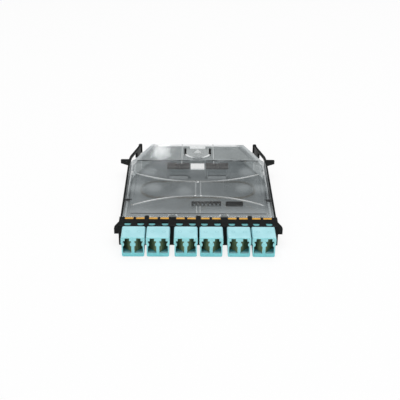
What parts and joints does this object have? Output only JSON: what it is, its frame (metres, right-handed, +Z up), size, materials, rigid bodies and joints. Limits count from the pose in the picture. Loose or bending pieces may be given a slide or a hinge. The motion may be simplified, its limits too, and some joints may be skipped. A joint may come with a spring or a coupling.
{
  "type": "fibre cassette",
  "caption": "Shallow clear fibre patching cassette: black front frame with aqua shuttered duplex ports, hinged smoky cover with sliding catch, side latch arms with lugs.",
  "frame": {"origin": "under the middle of the whole cassette, on the surface that it lies on", "axes": "+X to the right, +Y from the ports towards the rear, +Z up through the cover"},
  "size_m": [0.0984, 0.118, 0.0129],
  "materials": {
    "frame": "fine matt moulded",
    "adapter": "smooth moulded, aqua",
    "shutter": "satin olive",
    "sleeve": "white ground ceramic",
    "plug": "smooth moulded, amber",
    "tray": "clear smoky, lightly textured floor",
    "cover": "clear smoky, polished",
    "arm": "fine matt moulded",
    "inner_black": "fine matt moulded",
    "pad": "soft dark rubber",
    "fibre": "loose coated fibre"
  },
  "bodies": {
    "housing": {"front_frame": "frame", "adapter_1": "adapter", "adapter_2": "adapter", "adapter_3": "adapter", "adapter_4": "adapter", "adapter_5": "adapter", "adapter_6": "adapter", "alignment_sleeve_1": "sleeve", "alignment_sleeve_2": "sleeve", "alignment_sleeve_3": "sleeve", "alignment_sleeve_4": "sleeve", "alignment_sleeve_5": "sleeve", "alignment_sleeve_6": "sleeve", "alignment_sleeve_7": "sleeve", "alignment_sleeve_8": "sleeve", "alignment_sleeve_9": "sleeve", "alignment_sleeve_10": "sleeve", "alignment_sleeve_11": "sleeve", "alignment_sleeve_12": "sleeve", "inner_plug_1": "plug", "inner_plug_2": "plug", "inner_plug_3": "plug", "inner_plug_4": "plug", "inner_plug_5": "plug", "inner_plug_6": "plug", "inner_plug_7": "plug", "inner_plug_8": "plug", "inner_plug_9": "plug", "inner_plug_10": "plug", "inner_plug_11": "plug", "inner_plug_12": "plug", "base_tray": "tray", "splice_comb": "inner_black", "fanout_block": "inner_black", "cable_pad_left": "pad", "cable_pad_right": "pad", "pigtail_loop": "fibre"},
    "cover": {"top_cover": "cover", "latch_guide_left": "inner_black", "latch_guide_right": "inner_black"},
    "catch": {"cover_latch": "cover"},
    "left_arm": {"latch_arm_left": "arm"},
    "right_arm": {"latch_arm_right": "arm"},
    "leaf_1": {"shutter_1": "shutter"},
    "leaf_2": {"shutter_2": "shutter"},
    "leaf_3": {"shutter_3": "shutter"},
    "leaf_4": {"shutter_4": "shutter"},
    "leaf_5": {"shutter_5": "shutter"},
    "leaf_6": {"shutter_6": "shutter"},
    "leaf_7": {"shutter_7": "shutter"},
    "leaf_8": {"shutter_8": "shutter"},
    "leaf_9": {"shutter_9": "shutter"},
    "leaf_10": {"shutter_10": "shutter"},
    "leaf_11": {"shutter_11": "shutter"},
    "leaf_12": {"shutter_12": "shutter"}
  },
  "joints": [
    {"name": "shutter_1_hinge", "type": "hinge", "parent": "housing", "child": "leaf_1", "pos_m": [-0.0365, -0.05795, 0.0068], "axis": [0, 0, -1], "range_deg": [0, 44], "stiffness_Nm_per_rad": 0.0002, "springref_deg": -11.46},
    {"name": "shutter_2_hinge", "type": "hinge", "parent": "housing", "child": "leaf_2", "pos_m": [-0.0348, -0.05795, 0.0068], "axis": [0, 0, 1], "range_deg": [0, 44], "stiffness_Nm_per_rad": 0.0002, "springref_deg": -11.46},
    {"name": "shutter_3_hinge", "type": "hinge", "parent": "housing", "child": "leaf_3", "pos_m": [-0.02295, -0.05795, 0.0068], "axis": [0, 0, -1], "range_deg": [0, 44], "stiffness_Nm_per_rad": 0.0002, "springref_deg": -11.46},
    {"name": "shutter_4_hinge", "type": "hinge", "parent": "housing", "child": "leaf_4", "pos_m": [-0.02125, -0.05795, 0.0068], "axis": [0, 0, 1], "range_deg": [0, 44], "stiffness_Nm_per_rad": 0.0002, "springref_deg": -11.46},
    {"name": "shutter_5_hinge", "type": "hinge", "parent": "housing", "child": "leaf_5", "pos_m": [-0.0078, -0.05795, 0.0068], "axis": [0, 0, -1], "range_deg": [0, 44], "stiffness_Nm_per_rad": 0.0002, "springref_deg": -11.46},
    {"name": "shutter_6_hinge", "type": "hinge", "parent": "housing", "child": "leaf_6", "pos_m": [-0.0061, -0.05795, 0.0068], "axis": [0, 0, 1], "range_deg": [0, 44], "stiffness_Nm_per_rad": 0.0002, "springref_deg": -11.46},
    {"name": "shutter_7_hinge", "type": "hinge", "parent": "housing", "child": "leaf_7", "pos_m": [0.0061, -0.05795, 0.0068], "axis": [0, 0, -1], "range_deg": [0, 44], "stiffness_Nm_per_rad": 0.0002, "springref_deg": -11.46},
    {"name": "shutter_8_hinge", "type": "hinge", "parent": "housing", "child": "leaf_8", "pos_m": [0.0078, -0.05795, 0.0068], "axis": [0, 0, 1], "range_deg": [0, 44], "stiffness_Nm_per_rad": 0.0002, "springref_deg": -11.46},
    {"name": "shutter_9_hinge", "type": "hinge", "parent": "housing", "child": "leaf_9", "pos_m": [0.02125, -0.05795, 0.0068], "axis": [0, 0, -1], "range_deg": [0, 44], "stiffness_Nm_per_rad": 0.0002, "springref_deg": -11.46},
    {"name": "shutter_10_hinge", "type": "hinge", "parent": "housing", "child": "leaf_10", "pos_m": [0.02295, -0.05795, 0.0068], "axis": [0, 0, 1], "range_deg": [0, 44], "stiffness_Nm_per_rad": 0.0002, "springref_deg": -11.46},
    {"name": "shutter_11_hinge", "type": "hinge", "parent": "housing", "child": "leaf_11", "pos_m": [0.0348, -0.05795, 0.0068], "axis": [0, 0, -1], "range_deg": [0, 44], "stiffness_Nm_per_rad": 0.0002, "springref_deg": -11.46},
    {"name": "shutter_12_hinge", "type": "hinge", "parent": "housing", "child": "leaf_12", "pos_m": [0.0365, -0.05795, 0.0068], "axis": [0, 0, 1], "range_deg": [0, 44], "stiffness_Nm_per_rad": 0.0002, "springref_deg": -11.46},
    {"name": "left_arm_squeeze", "type": "hinge", "parent": "housing", "child": "left_arm", "pos_m": [-0.0433, -0.0404, 0.00785], "axis": [0, 0, -1], "range_deg": [0, 1.5], "stiffness_Nm_per_rad": 0.05, "springref_deg": -1.15},
    {"name": "right_arm_squeeze", "type": "hinge", "parent": "housing", "child": "right_arm", "pos_m": [0.0433, -0.0404, 0.00785], "axis": [0, 0, 1], "range_deg": [0, 1.5], "stiffness_Nm_per_rad": 0.05, "springref_deg": -1.15},
    {"name": "cover_hinge", "type": "hinge", "parent": "housing", "child": "cover", "pos_m": [0, -0.0369, 0.01175], "axis": [1, 0, 0], "range_deg": [0, 60]},
    {"name": "cover_latch_slide", "type": "slide", "parent": "cover", "child": "catch", "axis": [0, 1, 0], "range_m": [0, 0.0024]}
  ]
}
